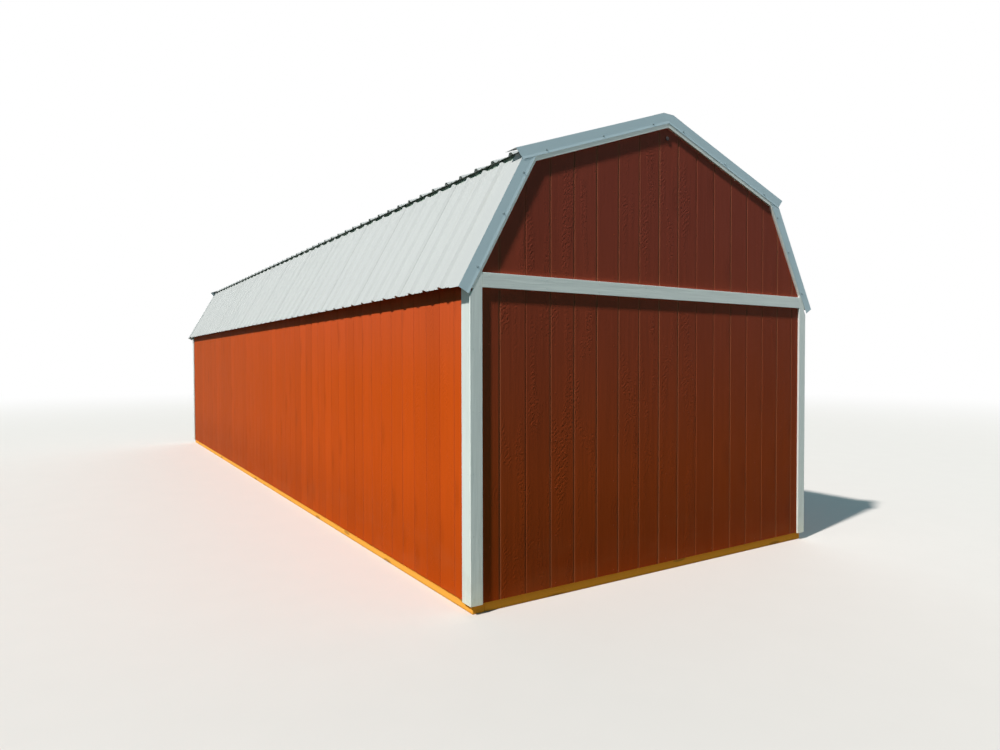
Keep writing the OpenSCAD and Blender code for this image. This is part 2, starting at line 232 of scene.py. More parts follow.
class Recipe:
    """The nodes of one material or world."""

    def __init__(self, tree):
        self.tree = tree
        tree.nodes.clear()

    def node(self, kind, settings=None, feeds=None, output=0):
        """Adds a node, sets it up, feeds its sockets and gives one of its outputs."""
        made = self.tree.nodes.new(kind)
        for key, value in (settings or {}).items():
            setattr(made, key, value)
        for key, value in (feeds or {}).items():
            if isinstance(value, Wire):
                self.tree.links.new(value.socket, made.inputs[key])
            else:
                made.inputs[key].default_value = value
        return Wire(self, made.outputs[output]) if made.outputs else made

    def maths(self, operation, *values):
        return self.node("ShaderNodeMath", {"operation": operation}, dict(enumerate(values)))

    def vector(self, x, y, z):
        return self.node("ShaderNodeCombineXYZ", None, {0: x, 1: y, 2: z})

    def place(self):
        """X, Y and Z of the surface in metres."""
        where = self.node("ShaderNodeTexCoord", None, None, "Object")
        split = self.node("ShaderNodeSeparateXYZ", None, {0: where})
        return split, split.other(1), split.other(2)

    def facing(self, axis):
        """How far the surface faces along an axis, from -1 to 1."""
        normal = self.node("ShaderNodeNewGeometry", None, None, "Normal")
        return self.node("ShaderNodeSeparateXYZ", None, {0: normal}, "XYZ".index(axis))

    def noise(self, x, y, z, detail=2.0):
        """Smooth noise from 0 to 1 with a grain of 1 unit; metres times 120 give 120 grains a metre."""
        return self.node("ShaderNodeTexNoise", None,
                         {"Vector": self.vector(x, y, z), "Scale": 1.0, "Detail": detail})

    def chance(self, value):
        """A steady random number from 0 to 1 for each value; a number added to the value is a seed."""
        return self.node("ShaderNodeTexWhiteNoise", {"noise_dimensions": "1D"}, {"W": value})

    def cells(self, x, y):
        """Distance to the nearest of many scattered points, on a grid of about 1 unit."""
        return self.node("ShaderNodeTexVoronoi", {"voronoi_dimensions": "2D"},
                         {"Vector": self.vector(x, y, 0.0), "Scale": 1.0, "Randomness": 0.9})

    def ease(self, value, start, end):
        """0 at start, 1 at end and smooth between them; start may be above end."""
        low, high = (start, end) if start < end else (end, start)
        rise = self.node("ShaderNodeMapRange", {"interpolation_type": "SMOOTHSTEP"},
                         {"Value": value, "From Min": low, "From Max": high})
        return rise if start < end else 1 - rise

    def blend(self, share, first, second):
        """first where share is 0, second where it is 1, for colours."""
        colour = [value if isinstance(value, Wire) else (*value, 1) for value in (first, second)]
        return self.node("ShaderNodeMix", {"data_type": "RGBA"}, {0: share, 6: colour[0], 7: colour[1]}, 2)

    def shade(self, colour, factor):
        """A colour made lighter or darker by a factor."""
        return self.node("ShaderNodeVectorMath", {"operation": "SCALE"}, {0: colour, "Scale": factor})

    def relief(self, height):
        """Surface direction for a height in metres."""
        return self.node("ShaderNodeBump", None, {"Strength": 1.0, "Distance": 1.0, "Height": height})

    def shown(self):
        """1 on the rays that show the background: from the camera, off gloss and through glass."""
        path = self.node("ShaderNodeLightPath", None, None, "Is Camera Ray")
        seen = self.maths("MAXIMUM", path, path.other("Is Glossy Ray"))
        return self.maths("MAXIMUM", seen, path.other("Is Transmission Ray"))


def finish(name, paint, rough, relief, specular=0.5, coat=0.0, metal=0.0, slot_colour=(0.5, 0.5, 0.5)):
    """Makes a material.

    paint, rough and relief are functions of its Recipe and of X, Y and Z, and metal may be one.
    """
    made = bpy.data.materials.new(name)
    made.use_nodes = True
    made.diffuse_color = (*slot_colour, 1)
    recipe = Recipe(made.node_tree)
    spot = recipe.place()
    feeds = {
        "Base Color": paint(recipe, *spot),
        "Roughness": rough(recipe, *spot),
        "Specular IOR Level": specular,
        "Metallic": metal(recipe, *spot) if callable(metal) else metal,
        "Normal": recipe.relief(relief(recipe, *spot)),
    }
    if coat:
        feeds["Coat Weight"] = coat
        feeds["Coat Roughness"] = 0.25
    shader = recipe.node("ShaderNodeBsdfPrincipled", None, feeds)
    recipe.node("ShaderNodeOutputMaterial", None, {"Surface": shader})
    return made


def uneven(least, spread, grains, detail=1):
    """A roughness that rises from the least in patches, with so many grains a metre."""
    return lambda r, x, y, z: least + r.noise(x * grains, y * grains, z * grains, detail) * spread


def siding_paint(name, across, first, specular, hues):
    """Red satin paint on panels with embossed cedar grain and grooves, whose colour also holds painted
    light: painted highlights beside the grooves, painted shade in them, towards the foot and at the far end
    of a wall, and painted sky reflection higher up.

    The grooves follow each other across X on a gable and across Y on a long wall, and one runs at first.
    """
    pitch = sizes().groove_pitch
    arris = sizes().groove_half
    reach = sizes().arris_reach
    dust_and_highlight = colours().siding_dust_and_highlight
    long_wall = across == "Y"
    # Strength of the painted highlight beside the grooves and of the painted shade in them.
    painted_groove_light = 0.3 if long_wall else 1.0
    # How much darker the foot is, as painted shade.
    foot_shade = 0.18 if long_wall else 0.25

    def layout(r, x, y):
        a = y if long_wall else x
        turn = (a - first) / pitch
        plank = r.maths("FLOOR", turn)
        share = turn - plank
        return a, turn, plank, share

    def grain(r, a, z, plank):
        fine = r.noise(a * 120, z * 4.0, plank * 3.7, 3)
        broad = r.noise(a * 30, z * 1.1, plank * 3.7 + 40, 2)
        return fine, broad

    def from_groove(share):
        """Metres to the middle of the nearest groove."""
        return (0.5 - abs(share - 0.5)) * pitch

    def groove(r, share):
        """1 in a groove and 0 on the face."""
        return r.ease(from_groove(share), arris + reach, arris)

    def red(r, x, y, z):
        """The first hue turns into the second along a wall or up a gable, as painted shade and sky
        reflection towards a wall's far end and painted sky reflection up a gable; a wall turns bluer under
        the eaves at its near end as painted sky reflection, a gable's right side is darker as painted shade,
        and the foot is darker as painted shade.
        """
        change = r.ease(y, -5.5, 4.5) if long_wall else r.ease(z, 0.3, 3.0)
        hue = r.blend(change, hues[0], hues[1])
        if long_wall:
            # Painted sky reflection under the eaves at the near end.
            hue = r.blend(r.ease(z, 1.3, 2.2) * (1 - change), hue, hues[2])
        else:
            # Painted shade: the right side of a gable is darker.
            hue = r.shade(hue, 1 - r.ease(x, 0.3, 1.5) * 0.09)
        # Painted shade: the foot is darker.
        return r.shade(hue, 1 - r.ease(z, 0.9, 0.1) * foot_shade)

    def knots(r, share, z, plank):
        """How far away the nearest knot is, and 1 at a knot that falls to 0 away from it."""
        spread = r.cells(share * 0.8 + plank * 7, z / 0.55 + r.chance(plank + 11) * 9)
        on = r.node("ShaderNodeSeparateColor", None, {0: spread.other("Color")}) > 0.7
        return spread, r.ease(spread, 0.32, 0.04) * on

    def paint(r, x, y, z):
        a, turn, plank, share = layout(r, x, y)
        fine, broad = grain(r, a, z, plank)
        luck = r.chance(plank + 3)
        factor = 1 + (luck - 0.5) * 0.12 + (broad - 0.5) * 0.14 + (fine - 0.5) * 0.12
        coat = r.shade(red(r, x, y, z), factor)
        _, near = knots(r, share, z, plank)
        coat = r.shade(coat, 1 - near * 0.12)
        # Painted highlight: a band of the dust colour beside each groove stands in for light on its edges.
        groove_highlight = r.ease(from_groove(share), arris + reach * 1.6, arris)
        joint = r.maths("ROUND", turn)
        coat = r.blend(groove_highlight * (0.07 + r.chance(joint + 70) * 0.24) * painted_groove_light, coat, dust_and_highlight)
        # Painted shade: the grooves are darker.
        coat = r.shade(coat, 1 - groove(r, share) * r.chance(joint + 90) * 0.16 * painted_groove_light)
        scuff = r.noise(a * 2.2, z * 5, 9.0, 3)
        low = r.ease(z, 0.7, 0.08) * r.ease(scuff, 0.42, 0.75)
        return r.blend(low * 0.06, coat, dust_and_highlight)

    def rough(r, x, y, z):
        return 0.56 + r.noise(x * 9, y * 9, z * 4, 2) * 0.16

    def relief(r, x, y, z):
        """Grain, rings round the knots, patches of arched wrinkles, and grooves of uneven wear."""
        fine_deep, broad_deep, crinkle_deep, ring_deep = 0.0005, 0.0012, 0.0003, 0.0003
        wrinkle_deep, patch_crinkle_deep = 0.0007, 0.0009
        groove_least, groove_more = 0.0004, 0.0005
        a, turn, plank, share = layout(r, x, y)
        fine, broad = grain(r, a, z, plank)
        spread, near = knots(r, share, z, plank)
        ring = r.maths("SINE", spread * 75)
        middle = (r.chance(plank + 17) * 0.4 + 0.3 - share) * pitch
        patch = r.ease(r.noise(a * 11, z * 1.7, plank * 2.3, 1), 0.48, 0.62) * (r.chance(plank + 29) > 0.3)
        wave = r.maths("SINE", (z + abs(middle) * 0.9) * 165 + r.noise(a * 40, z * 20, plank, 2) * 12)
        stroke = r.ease(r.noise(a * 60, z * 34, plank + 5, 1), 0.44, 0.6)
        crinkle = r.noise(a * 80, z * 60, plank + 0.5, 2)
        worn = r.chance(r.maths("ROUND", turn) + 50)
        height = fine * fine_deep + broad * broad_deep + crinkle * crinkle_deep + ring * near * ring_deep
        height = height + (wave * stroke * wrinkle_deep + crinkle * patch_crinkle_deep) * patch
        return height - groove(r, share) * (groove_least + worn * groove_more)

    return finish(name, paint, rough, relief, specular=specular, slot_colour=hues[0])


def trim_paint(name, along, lift=1.03, coat=0.3, metal=0.0):
    """Pale satin paint on boards with embossed grain that runs along X, Y or Z; lift makes it lighter, and
    the higher lift of the boards on the gables is painted light.
    """
    pale = colours().trim_pale
    splashed = colours().trim_splash
    fine_deep, broad_deep = 0.0009, 0.0022

    def stretched(r, spot, across, down, shift):
        """Noise with so many grains a metre across the boards and down their length."""
        return r.noise(*[s * (down if axis == along else across) + shift for axis, s in zip("XYZ", spot)], 3)

    def paint(r, x, y, z):
        fine = stretched(r, (x, y, z), 130, 5, 0)
        broad = stretched(r, (x, y, z), 22, 0.8, 30)
        coat_colour = r.shade(pale, (1 + (fine - 0.5) * 0.2 + (broad - 0.5) * 0.16) * lift)
        splash = r.ease(z, 0.45, 0.06) * r.ease(r.noise(x * 9, y * 9, z * 7, 3), 0.4, 0.7)
        return r.blend(splash * 0.18, coat_colour, splashed)

    def relief(r, x, y, z):
        fine = stretched(r, (x, y, z), 110, 6, 0) * fine_deep
        return fine + stretched(r, (x, y, z), 40, 3.2, 30) * broad_deep

    return finish(name, paint, uneven(0.42, 0.14, 20, 2), relief, specular=coat, coat=coat, metal=metal,
                  slot_colour=pale)


def timber_wood(name, along):
    """Treated sawn pine whose grain runs along X or Y, with knots."""
    c = colours()
    fibre_deep, ring_deep, saw_deep, knot_deep = 0.0005, 0.00008, 0.00006, 0.0005

    def layout(r, x, y, z):
        """Metres along the timber and across it, and how far away the nearest knot is."""
        run, side = (y, x) if along == "Y" else (x, y)
        return run, side, r.cells(run / 0.55, (side + z) / 0.11)

    def rings(r, x, y, z):
        """Growth rings from -1 to 1, which sway along the timber and bend round the knots."""
        run, side, knot = layout(r, x, y, z)
        sway = r.noise(run * 0.7, side * 3, z * 3, 2) * 0.05
        bend = r.ease(knot, 0.4, 0.05) * 0.012
        return r.maths("SINE", (side * 0.8 + z + sway + bend) * 900)

    def paint(r, x, y, z):
        run, side, knot = layout(r, x, y, z)
        band = rings(r, x, y, z) * 0.5 + 0.5
        fine = r.noise(run * 3, side * 160, z * 160, 3)
        wood = r.blend(band * 0.5 + fine * 0.3, c.timber_light, c.timber_dark)
        wood = r.blend(r.ease(knot, 0.17, 0.08) * 0.5, wood, c.timber_knot)
        green = r.ease(r.noise(run * 1.3, side * 6, z * 6 + 5, 2), 0.45, 0.75)
        wood = r.blend(green * 0.12, wood, c.timber_green)
        # Darker towards the bottom.
        foot_dark = r.ease(z, 0.02, 0.0)
        return r.blend(foot_dark * 0.4, wood, c.timber_foot_dark)

    def relief(r, x, y, z):
        run, side, knot = layout(r, x, y, z)
        fibre = r.noise(run * 5, side * 170, z * 170, 3)
        saw = r.maths("SINE", run * 900 + r.noise(run * 8, side * 8, z * 8, 1) * 12)
        height = fibre * fibre_deep + rings(r, x, y, z) * ring_deep + saw * saw_deep
        return height - r.ease(knot, 0.17, 0.1) * knot_deep

    return finish(name, paint, uneven(0.68, 0.14, 30, 2), relief, specular=0.25, slot_colour=c.timber_light)


def timber_end(name, centre_x, spacing):
    """Sawn end grain with growth rings and drying checks.

    The timbers' middles lie at centre_x plus whole spacings.
    """
    c = colours()
    pith_side, pith_up = 0.021, 0.012
    pore_deep, check_deep = 0.0005, 0.002

    def polar(r, x, z):
        """How far out from the pith, and in which direction."""
        turn = (x - centre_x) / spacing
        local = (turn - r.maths("ROUND", turn)) * spacing + pith_side
        up = z - pith_up
        return r.maths("SQRT", local * local + up * up), r.maths("ARCTAN2", up, local)

    def checks(r, x, z):
        out, angle = polar(r, x, z)
        ray = r.noise(angle * 7, 0.0, 3.0, 1)
        return r.ease(ray, 0.66, 0.7) * r.ease(out, 0.09, 0.02)

    def paint(r, x, y, z):
        out, _ = polar(r, x, z)
        wobble = r.noise(x * 30, y * 30, z * 30, 2) * 0.004
        ring = r.maths("SINE", (out + wobble) * 1000) * 0.5 + 0.5
        wood = r.blend(ring * 0.7, c.timber_light, c.timber_dark)
        wood = r.blend(r.noise(x * 400, y, z * 400, 1) * 0.2, wood, c.end_pores)
        return r.blend(checks(r, x, z) * 0.85, wood, c.end_checks)

    def relief(r, x, y, z):
        return r.noise(x * 500, y, z * 500, 1) * pore_deep - checks(r, x, z) * check_deep

    return finish(name, paint, uneven(0.74, 0.12, 90), relief, specular=0.2, slot_colour=c.timber_light)


def planed_pine(name):
    """Planed framing timber with upright grain."""
    pine = colours().pine
    late_wood = (pine[0] * 0.72, pine[1] * 0.6, pine[2] * 0.5)

    def paint(r, x, y, z):
        band = r.maths("SINE", (x + y * 0.9 + r.noise(x * 3, y * 3, z * 0.6, 2) * 0.06) * 700) * 0.5 + 0.5
        wood = r.blend(band * 0.5, pine, late_wood)
        spot = r.cells((x + y) / 0.2, z / 0.7)
        return r.blend(r.ease(spot, 0.09, 0.05), wood, colours().pine_knot)

    def rough(r, x, y, z):
        return 0.55 + r.noise(x * 40, y * 40, z * 8, 2) * 0.12

    def relief(r, x, y, z):
        return r.noise(x * 150, y * 150, z * 6, 2) * 0.0002

    return finish(name, paint, rough, relief, specular=0.3, slot_colour=pine)


def strand_panel(name, wrapped=False):
    """Pressed strand panel, with long flakes that lie at many angles; the upper faces may be wrapped, in a
    wrap toned dark as painted shade.
    """
    panel = colours().panel
    flake_deep = 0.0006

    def flakes(r, x, y, z):
        swirl = r.noise(x * 9, y * 9, z * 9, 1) * 3
        return r.node("ShaderNodeTexVoronoi", {"voronoi_dimensions": "3D"},
                      {"Vector": r.vector(x * 16 + swirl, y * 38 - swirl, z * 16 + swirl), "Scale": 1.0})

    def paint(r, x, y, z):
        luck = r.node("ShaderNodeSeparateColor", None, {0: flakes(r, x, y, z).other("Color")})
        bare = r.shade(panel, 0.72 + luck * 0.5)
        if not wrapped:
            return bare
        # Painted shade: the wrap's dark tone stands in for shade under the knee.
        wrap = r.shade(colours().wrap, 0.9 + r.noise(x * 30, y * 6, z * 30, 3) * 0.2)
        return r.blend(r.facing("Z") > 0.05, bare, wrap)

    def relief(r, x, y, z):
        return flakes(r, x, y, z) * -flake_deep

    return finish(name, paint, uneven(0.66, 0.16, 60), relief, specular=0.25, slot_colour=panel)


def roof_paint(name, colour, lap=None, face=None):
    """Satin paint on thin metal that ripples, with runs of grime down the slope.

    lap is where one of the sheets' lap lines runs, and face is the colour on the sides towards the gables, a
    bluer painted sky reflection.
    """
    ribs_a_sheet = 4
    every = ribs_a_sheet * sizes().rib_pitch
    lap_outer, lap_inner, lap_deep = 0.0028, 0.0012, 0.0006
    ripple_deep, run_deep, speck_deep = 0.0016, 0.0002, 0.00002

    def gable_side(r):
        return abs(r.facing("Y")) > 0.7

    def metal(r, x, y, z):
        return gable_side(r) * 0.33

    def runs(r, x, y, z):
        return r.noise(y * 16, x * 0.9, z * 0.9, 3)

    def ripple(r, x, y, z):
        return r.noise(y * 4.5, x * 2.2, z * 2.2 + 4, 1)

    def seam(r, y):
        """1 on a lap line and 0 beside it."""
        turn = (y - lap) / every
        return r.ease(abs(turn - r.maths("ROUND", turn)) * every, lap_outer, lap_inner)

    def paint(r, x, y, z):
        run = runs(r, x, y, z)
        cloud = r.noise(x * 1.7, y * 1.1, z * 1.7, 2)
        # Painted sky reflection: the sides towards the gables take the bluer face colour.
        ground = r.blend(gable_side(r), colour, face) if face else colour
        coat = r.shade(ground, 1 + (run - 0.5) * 0.07 + (cloud - 0.5) * 0.05)
        grime = r.ease(run, 0.56, 0.78) * r.ease(cloud, 0.35, 0.7)
        coat = r.blend(grime * 0.2, coat, colours().roof_grime)
        return r.blend(seam(r, y) * 0.5, coat, colours().lap_line) if lap is not None else coat

    def rough(r, x, y, z):
        return 0.48 + runs(r, x, y, z) * 0.16

    def relief(r, x, y, z):
        height = ripple(r, x, y, z) * ripple_deep + runs(r, x, y, z) * run_deep
        height = height + r.noise(x * 260, y * 260, z * 260, 1) * speck_deep
        return height - seam(r, y) * lap_deep if lap is not None else height

    return finish(name, paint, rough, relief, specular=0.25, metal=metal if face else 0.0,
                  slot_colour=colour)


def small_part_finish(name, colour, dullness):
    """Finish of a small fixing, faintly mottled and worn."""

    def paint(r, x, y, z):
        return r.shade(colour, 1 + (r.noise(x * 120, y * 120, z * 120, 2) - 0.5) * 0.16)

    def relief(r, x, y, z):
        return r.noise(x * 500, y * 500, z * 500, 1) * 0.00004

    return finish(name, paint, uneven(dullness, 0.12, 200), relief, slot_colour=colour)


def dress(names, made):
    """Gives CAD nodes a material."""
    for name in names:
        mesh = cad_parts[name].data
        mesh.materials.clear()
        mesh.materials.append(made)


def add_piece(name, mesh, made):
    """Puts a mesh into the scene as a piece of the barn."""
    for material in made:
        mesh.materials.append(material)
    piece = bpy.data.objects.new(name, mesh)
    bpy.context.scene.collection.objects.link(piece)
    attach(piece, "root")
    return piece


def eased_copy(node, name, ease, made, end_axis=None):
    """A copy of a CAD node with rounded edges, which takes its place.

    Faces square to end_axis get the second finish.
    """
    body = bmesh.new()
    body.from_mesh(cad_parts[node].data)
    bmesh.ops.remove_doubles(body, verts=body.verts, dist=1e-5)
    bmesh.ops.dissolve_limit(body, angle_limit=math.radians(1), verts=body.verts, edges=body.edges)
    bmesh.ops.bevel(body, geom=list(body.edges), offset=ease, segments=2, profile=0.5, affect="EDGES",
                    clamp_overlap=True)
    bmesh.ops.recalc_face_normals(body, faces=body.faces)
    for face in body.faces:
        at_end = end_axis is not None and abs(face.normal[end_axis]) > 0.9
        face.material_index = 1 if at_end else 0
    mesh = bpy.data.meshes.new(name)
    body.to_mesh(mesh)
    body.free()
    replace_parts(add_piece(name, mesh, made), node)


def turned(profile, sides, finish_index=0):
    """A turned shape about Z from (radius, height) pairs, closed at both ends.

    Like the other shapes, it is corners, faces and the index of each face's finish.
    """
    corners, faces = [], []
    for radius, height in profile:
        for i in range(sides):
            angle = 2 * math.pi * i / sides
            corners.append((radius * math.cos(angle), radius * math.sin(angle), height))
    for ring in range(len(profile) - 1):
        for i in range(sides):
            j = (i + 1) % sides
            a, b = ring * sides, (ring + 1) * sides
            faces.append((a + i, a + j, b + j, b + i))
    faces.append(tuple(range(sides - 1, -1, -1)))
    faces.append(tuple(range((len(profile) - 1) * sides, len(profile) * sides)))
    return corners, faces, [finish_index] * len(faces)


def together(*shapes):
    """Several shapes as one."""
    corners, faces, finishes = [], [], []
    for c, f, m in shapes:
        start = len(corners)
        corners += c
        faces += [tuple(i + start for i in face) for face in f]
        finishes += m
    return corners, faces, finishes


def roofing_screw():
    """Rubber washer, flange and hexagon head of a roofing screw, standing on Z = 0."""
    wide, flats = sizes().washer / 2, sizes().screw_flats / 2
    point = flats / math.cos(math.pi / 6)
    rubber = turned([(wide, -0.0004), (wide * 1.02, 0.0006), (wide * 0.97, 0.0016), (wide * 0.6, 0.002)],
                    14, 1)
    flange = turned([(wide * 0.86, 0.0015), (wide * 0.86, 0.0023), (flats * 1.15, 0.0031)], 14)
    head = turned([(point, 0.0028), (point, 0.0062), (point * 0.84, 0.0068)], 6)
    return together(rubber, flange, head)


def nail_head(wide):
    """Shallow domed nail head, standing on Z = 0."""
    half = wide / 2
    return turned([(half, -0.0003), (half, 0.0006), (half * 0.8, 0.0012), (half * 0.4, 0.0015)], 10)


def scattered(name, shape, spots, made):
    """One piece with a copy of a shape at each spot.

    A spot is a point and a direction that the shape stands along.
    """
    corners, faces, finishes = shape
    base = np.array(corners)
    points, loops, marks = [], [], []
    for i, (point, out) in enumerate(spots):
        turn = Vector(out).to_track_quat("Z", "Y").to_matrix() @ Matrix.Rotation(i * 2.4, 3, "Z")
        points.append(base @ np.array(turn).T + np.array(point))
        loops += [tuple(c + i * len(base) for c in face) for face in faces]
        marks += finishes
    mesh = bpy.data.meshes.new(name)
    mesh.from_pydata(np.concatenate(points).tolist(), [], loops)
    add_piece(name, mesh, made)
    mesh.polygons.foreach_set("material_index", marks)
    mesh.set_sharp_from_angle(angle=math.radians(40))


def slope(side, part):
    """Start, direction and outward direction of a rafter slope; side is -1 for left and 1 for right."""
    s = sizes()
    if part == "lower":
        start, end = (s.knee_x, s.knee_z), (s.heel_x, s.heel_z)
    else:
        start, end = (0.0, s.ridge_z), (s.knee_x, s.knee_z)
    down = Vector((side * (end[0] - start[0]), 0, end[1] - start[1])).normalized()
    out = Vector((-side * down.z, 0, side * down.x))
    return Vector((side * start[0], 0, start[1])), down, out


def on_slope(side, part, along, off, y):
    """The point at a distance down a slope and off the rafter line, and the slope's outward direction."""
    start, down, out = slope(side, part)
    return start + along * down + off * out + Vector((0, y, 0)), out


def even(low, high, pitch):
    """Evenly spaced places from low to high, about a pitch apart."""
    count = max(1, round((high - low) / pitch))
    return [low + (high - low) * i / count for i in range(count + 1)]


def clear_of_grooves(place, first):
    """A nail's place, moved beside a groove where it would fall into one."""
    pitch = sizes().groove_pitch
    too_near, moved_to = 0.012, 0.016
    off = (place - first + pitch / 2) % pitch - pitch / 2
    if abs(off) >= too_near:
        return place
    return place + (moved_to - abs(off)) * (1 if off >= 0 else -1)


def groove_starts():
    """Where one groove runs on the near gable, on the far gable and on the long walls."""
    low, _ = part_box("near_lower_siding")
    near = low.x + sizes().gable_groove
    return near, -near, low.y + sizes().wall_groove


class BARN_OT_siding(Operator):
    """Paints the grooved siding of the walls and the gables"""

    bl_idname = "barn.siding"
    bl_label = "Paint the siding"

    def execute(self, context):
        near, far, wall = groove_starts()
        c = colours()
        gable_hues = (c.gable_foot, c.gable_peak_sky_reflection)
        wall_hues = (c.wall_near, c.wall_far_shade_and_sky, c.wall_top_sky_reflection)
        dress(("near_lower_siding", "near_gable_siding"),
              siding_paint("Near siding paint", "X", near, 0.1, gable_hues))
        dress(("far_lower_siding", "far_gable_siding"),
              siding_paint("Far siding paint", "X", far, 0.1, gable_hues))
        dress(("left_siding", "right_siding"), siding_paint("Wall siding paint", "Y", wall, 0.02, wall_hues))
        return {"FINISHED"}


class BARN_OT_siding_nails(Operator):
    """Drives painted nails through the siding at the studs"""

    bl_idname = "barn.siding_nails"
    bl_label = "Nail the siding"

    def execute(self, context):
        s = sizes()
        c = colours()
        near, far, wall = groove_starts()
        wall_nail = small_part_finish("Painted wall nail", toned(c.wall_near, 0.9), 0.5)
        gable_nail = small_part_finish("Painted gable nail", toned(c.gable_foot, 0.9), 0.5)
        shape = nail_head(s.nail_head)
        foot_gap, eave_gap, corner_gap = 0.03, 0.16, 0.02
        left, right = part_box("left_siding"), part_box("right_siding")
        spots = []
        for y in even(left[0].y + corner_gap, left[1].y - corner_gap, s.wall_studs):
            place = clear_of_grooves(y, wall)
            for z in even(left[0].z + foot_gap, left[1].z - eave_gap, s.nail_pitch):
                spots.append(((left[0].x, place, z), (-1, 0, 0)))
                spots.append(((right[1].x, place, z), (1, 0, 0)))
        scattered("wall_siding_nails", shape, spots, [wall_nail])
        side_gap, below_band, above_band, rafter_gap, least_row = 0.13, 0.08, 0.09, 0.14, 0.2
        low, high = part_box("near_lower_siding")
        heights = even(low.z + foot_gap, high.z - below_band, s.nail_pitch)
        spots = []
        for x in even(low.x + side_gap, high.x - side_gap, s.gable_studs):
            roof = self.rafter_height(abs(x)) - rafter_gap
            upper = even(high.z + above_band, roof, s.nail_pitch) if roof > high.z + least_row else []
            for z in heights + upper:
                spots.append(((clear_of_grooves(x, near), low.y, z), (0, -1, 0)))
                spots.append(((clear_of_grooves(-x, far), -low.y, z), (0, 1, 0)))
        scattered("gable_siding_nails", shape, spots, [gable_nail])
        return {"FINISHED"}

    def rafter_height(self, x):
        s = sizes()
        if x < s.knee_x:
            return s.ridge_z - x * (s.ridge_z - s.knee_z) / s.knee_x
        return s.knee_z - (x - s.knee_x) * (s.knee_z - s.heel_z) / (s.heel_x - s.knee_x)


class BARN_OT_trim_boards(Operator):
    """Rounds and paints the corner, band and rake boards"""

    bl_idname = "barn.trim_boards"
    bl_label = "Make the trim boards"

    def execute(self, context):
        # Painted light: the boards on the gables get a lighter copy of the trim paint than the boards on the
        # long walls.
        upright = trim_paint("Gable corner board paint", "Z", 1.1, 1.0, 0.1)
        level = trim_paint("Band board paint", "X", 1.1, 1.0, 0.1)
        side_paint = trim_paint("Side corner board paint", "Z")
        ease = sizes().board_ease
        for place in ("near", "far", "left", "right"):
            made = upright if place in ("near", "far") else side_paint
            eased_copy(f"{place}_corner_boards", f"{place}_corner_trim", ease, [made])
        for place in ("near", "far"):
            eased_copy(f"{place}_band_board", f"{place}_band_trim", ease, [level])
        for place in ("left_lower", "left_upper", "right_lower", "right_upper"):
            eased_copy(f"{place}_rake_boards", f"{place}_rake_trim_boards", ease / 2, [level])
        return {"FINISHED"}


class BARN_OT_trim_nails(Operator):
    """Drives painted nails through the corner and band boards"""

    bl_idname = "barn.trim_nails"
    bl_label = "Nail the trim boards"

    def execute(self, context):
        s = sizes()
        paint = small_part_finish("Painted trim nail", toned(colours().trim_pale, 0.94), 0.4)
        shape = nail_head(s.nail_head * 0.9)
        edge, end_gap, rake_gap, eave_gap = 0.02, 0.05, 0.1, 0.08
        side_rows = (edge, 0.077)
        spots = []
        low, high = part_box("near_corner_boards")
        width = high.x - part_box("near_band_board")[1].x
        for z in even(low.z + end_gap, high.z - rake_gap, s.corner_pitch):
            for side in (-1, 1):
                for inset in (edge, width - edge):
                    spots.append(((side * (high.x - inset), low.y, z), (0, -1, 0)))
                    spots.append(((side * (high.x - inset), -low.y, z), (0, 1, 0)))
        left_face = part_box("left_corner_boards")[0].x
        low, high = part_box("right_corner_boards")
        for z in even(low.z + end_gap, high.z - eave_gap, s.corner_pitch):
            for end in (-1, 1):
                for inset in side_rows:
                    y = end * (high.y - inset)
                    spots.append(((high.x, y, z), (1, 0, 0)))
                    spots.append(((left_face, y, z), (-1, 0, 0)))
        low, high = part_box("near_band_board")
        for x in even(low.x + end_gap, high.x - end_gap, s.band_pitch):
            for z in (low.z + edge, high.z - edge):
                spots.append(((x, low.y, z), (0, -1, 0)))
                spots.append(((x, -low.y, z), (0, 1, 0)))
        scattered("trim_nails", shape, spots, [paint])
        return {"FINISHED"}


class BARN_OT_timbers(Operator):
    """Rounds the skids and sills and gives the treated timbers their grain"""

    bl_idname = "barn.timbers"
    bl_label = "Make the treated timbers"

    def execute(self, context):
        low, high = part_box("skids")
        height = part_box("left_siding")[0].z
        wide = high.z - low.z
        gaps_between_skids = 3
        spacing = (high.x - low.x - wide) / gaps_between_skids
        along = timber_wood("Treated timber", "Y")
        across = timber_wood("Treated sill", "X")
        end = timber_end("Treated end grain", low.x + wide / 2, spacing)
        ease = min(sizes().timber_ease, height / 4)
        eased_copy("skids", "sawn_skids", ease, [along, end], end_axis=1)
        eased_copy("end_sills", "sawn_end_sills", ease, [across])
        dress(("rim_joists",), along)
        dress(("floor_joists",), across)
        return {"FINISHED"}


class BARN_OT_framing(Operator):
    """Gives the frames, trusses, roof boards and floor their wood"""

    bl_idname = "barn.framing"
    bl_label = "Finish the framing"

    def execute(self, context):
        dress(("left_wall_frame", "right_wall_frame", "near_wall_frame", "far_wall_frame", "roof_trusses"),
              planed_pine("Planed pine"))
        dress(("floor_deck",), strand_panel("Floor panel"))
        dress(("left_lower_roof_boards", "right_lower_roof_boards", "left_upper_roof_boards",
               "right_upper_roof_boards"), strand_panel("Wrapped roof panel", True))
        return {"FINISHED"}


